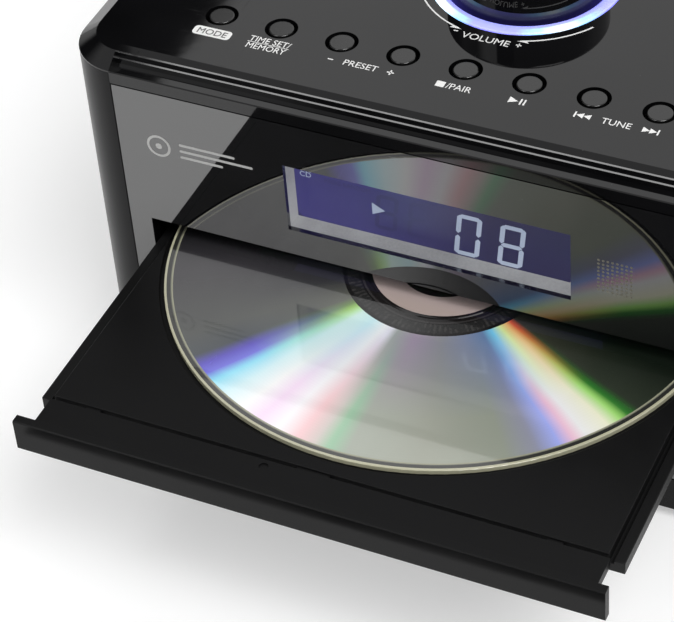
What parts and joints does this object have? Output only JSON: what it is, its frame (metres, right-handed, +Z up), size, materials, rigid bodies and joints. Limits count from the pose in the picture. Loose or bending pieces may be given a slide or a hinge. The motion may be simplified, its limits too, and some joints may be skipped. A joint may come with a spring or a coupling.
{
  "type": "cd player",
  "caption": "Tabletop CD player: black rounded cabinet with a motor-driven disc tray part way out, blue display, push buttons and a lit volume knob on top.",
  "frame": {"origin": "on the standing plane, below the middle of the whole outline in X and Y with the tray part way out", "axes": "+Z up, +Y towards the back, the tray opens towards -Y, +X to the right seen from the front"},
  "size_m": [0.165, 0.263, 0.102],
  "materials": {
    "satin_black": "satin black moulding",
    "shell_black": "fine-textured black wrap",
    "piano_black": "high-gloss black",
    "base_black": "textured black",
    "foot_rubber": "soft black rubber",
    "clear_acrylic": "clear acrylic",
    "bezel_grey": "light grey",
    "lcd_blue": "blue backlit liquid crystal glass",
    "board_green": "solder mask over glass-fibre board",
    "dark_epoxy": "moulded epoxy",
    "ring_white": "translucent light guide lit blue",
    "encoder_zinc": "zinc die casting",
    "tray_black": "fine-textured black",
    "disc_silver": "mirrored polycarbonate",
    "chassis_grey": "dark grey moulding",
    "gear_white": "natural acetal",
    "motor_steel": "plated steel can",
    "deck_steel": "zinc-plated sheet",
    "turntable_black": "black acetal",
    "lens_clear": "coated lens in its carrier",
    "shield_tin": "tin-plated can",
    "core_steel": "laminated steel",
    "coil_tape": "winding under yellow tape",
    "heatsink_alu": "plain extruded aluminium",
    "capacitor_sleeve": "dark sleeve",
    "jack_black": "black moulding with plated collar",
    "socket_brass": "plated brass",
    "screw_black": "blackened steel"
  },
  "bodies": {
    "cabinet": {"amplifier_chip": "dark_epoxy", "antenna_socket": "socket_brass", "aux_jack": "jack_black", "base_plate": "base_black", "base_screws": "screw_black", "button_board": "board_green", "cabinet_shell": "shell_black", "capacitors": "capacitor_sleeve", "clamp_bridge": "chassis_grey", "deck_dampers": "foot_rubber", "deck_plate": "deck_steel", "display_bezel": "bezel_grey", "display_board": "board_green", "display_lens": "clear_acrylic", "drive_belt": "foot_rubber", "encoder_body": "encoder_zinc", "feet": "foot_rubber", "front_frame": "satin_black", "front_window": "piano_black", "guide_rods": "motor_steel", "heatsink": "heatsink_alu", "ir_receiver": "dark_epoxy", "lcd_glass": "lcd_blue", "light_ring": "ring_white", "loader_chassis": "chassis_grey", "loading_motor": "motor_steel", "main_board": "board_green", "power_inlet": "base_black", "radio_module": "shield_tin", "rear_panel": "base_black", "rear_screws": "screw_black", "sled_motor": "motor_steel", "speaker_terminals": "base_black", "spindle_motor": "motor_steel", "tact_switches": "dark_epoxy", "top_cover": "piano_black", "transformer_coil": "coil_tape", "transformer_core": "core_steel"},
    "tray": {"tray_plate": "tray_black", "tray_door": "tray_black"},
    "disc": {"compact_disc": "disc_silver"},
    "knob": {"volume_knob": "piano_black"},
    "drive_gear": {"loading_gear": "gear_white"},
    "drive_pulley": {"loading_pulley": "gear_white"},
    "motor_pulley": {"motor_pulley": "gear_white"},
    "turntable": {"turntable": "turntable_black"},
    "sled": {"pickup_sled": "turntable_black"},
    "lens": {"objective_lens": "lens_clear"},
    "sled_gear": {"sled_gear": "gear_white"},
    "sled_pinion": {"sled_pinion": "gear_white"},
    "clamper": {"clamper": "gear_white"},
    "key_mode": {"button_mode": "piano_black"},
    "key_memory": {"button_memory": "piano_black"},
    "key_preset_down": {"button_preset_down": "piano_black"},
    "key_preset_up": {"button_preset_up": "piano_black"},
    "key_stop": {"button_stop": "piano_black"},
    "key_play": {"button_play": "piano_black"},
    "key_tune_down": {"button_tune_down": "piano_black"},
    "key_tune_up": {"button_tune_up": "piano_black"},
    "key_eject": {"button_eject": "piano_black"}
  },
  "joints": [
    {"name": "tray_slide", "type": "slide", "parent": "cabinet", "child": "tray", "axis": [0, 1, 0], "range_m": [-0.072, 0.0626]},
    {"name": "disc_spin", "type": "hinge", "parent": "tray", "child": "disc", "pos_m": [-0.0016, -0.0565, 0.044], "axis": [0, 0, 1], "continuous": true},
    {"name": "knob_turn", "type": "hinge", "parent": "cabinet", "child": "knob", "pos_m": [0, -0.012, 0.095], "axis": [0, 0, 1], "continuous": true},
    {"name": "drive_gear_spin", "type": "hinge", "parent": "cabinet", "child": "drive_gear", "pos_m": [-0.045, -0.0515, 0.038], "axis": [0, 0, 1], "continuous": true},
    {"name": "drive_pulley_spin", "type": "hinge", "parent": "cabinet", "child": "drive_pulley", "pos_m": [-0.03, -0.0435, 0.032], "axis": [0, 0, 1], "continuous": true},
    {"name": "motor_pulley_spin", "type": "hinge", "parent": "cabinet", "child": "motor_pulley", "pos_m": [0.0034, -0.0435, 0.032], "axis": [0, 0, 1], "continuous": true},
    {"name": "turntable_spin", "type": "hinge", "parent": "cabinet", "child": "turntable", "pos_m": [-0.0016, 0.0061, 0.035], "axis": [0, 0, 1], "continuous": true},
    {"name": "sled_slide", "type": "slide", "parent": "cabinet", "child": "sled", "axis": [0, 1, 0], "range_m": [0, 0.034]},
    {"name": "sled_gear_spin", "type": "hinge", "parent": "cabinet", "child": "sled_gear", "pos_m": [0.0351, 0.0395, 0.028], "axis": [0, 0, 1], "continuous": true},
    {"name": "sled_pinion_spin", "type": "hinge", "parent": "cabinet", "child": "sled_pinion", "pos_m": [0.0351, 0.0491, 0.028], "axis": [0, 0, 1], "continuous": true},
    {"name": "lens_focus", "type": "slide", "parent": "sled", "child": "lens", "axis": [0, 0, 1], "range_m": [-0.0004, 0.0004], "stiffness_N_per_m": 60},
    {"name": "clamper_spin", "type": "hinge", "parent": "cabinet", "child": "clamper", "pos_m": [-0.0016, 0.0061, 0.05], "axis": [0, 0, 1], "continuous": true},
    {"name": "press_mode", "type": "slide", "parent": "cabinet", "child": "key_mode", "axis": [0, 0, -1], "range_m": [0, 0.0006], "stiffness_N_per_m": 300},
    {"name": "press_memory", "type": "slide", "parent": "cabinet", "child": "key_memory", "axis": [0, 0, -1], "range_m": [0, 0.0006], "stiffness_N_per_m": 300},
    {"name": "press_preset_down", "type": "slide", "parent": "cabinet", "child": "key_preset_down", "axis": [0, 0, -1], "range_m": [0, 0.0006], "stiffness_N_per_m": 300},
    {"name": "press_preset_up", "type": "slide", "parent": "cabinet", "child": "key_preset_up", "axis": [0, 0, -1], "range_m": [0, 0.0006], "stiffness_N_per_m": 300},
    {"name": "press_stop", "type": "slide", "parent": "cabinet", "child": "key_stop", "axis": [0, 0, -1], "range_m": [0, 0.0006], "stiffness_N_per_m": 300},
    {"name": "press_play", "type": "slide", "parent": "cabinet", "child": "key_play", "axis": [0, 0, -1], "range_m": [0, 0.0006], "stiffness_N_per_m": 300},
    {"name": "press_tune_down", "type": "slide", "parent": "cabinet", "child": "key_tune_down", "axis": [0, 0, -1], "range_m": [0, 0.0006], "stiffness_N_per_m": 300},
    {"name": "press_tune_up", "type": "slide", "parent": "cabinet", "child": "key_tune_up", "axis": [0, 0, -1], "range_m": [0, 0.0006], "stiffness_N_per_m": 300},
    {"name": "press_eject", "type": "slide", "parent": "cabinet", "child": "key_eject", "axis": [0, 0, -1], "range_m": [0, 0.0006], "stiffness_N_per_m": 300}
  ],
  "couplings": [
    {"joint": "drive_gear_spin", "follows": "tray_slide", "rad_per_m": -83.333},
    {"joint": "drive_pulley_spin", "follows": "tray_slide", "rad_per_m": 200},
    {"joint": "motor_pulley_spin", "follows": "tray_slide", "rad_per_m": 600},
    {"joint": "sled_gear_spin", "follows": "sled_slide", "rad_per_m": -156.25},
    {"joint": "sled_pinion_spin", "follows": "sled_slide", "rad_per_m": 312.5}
  ]
}
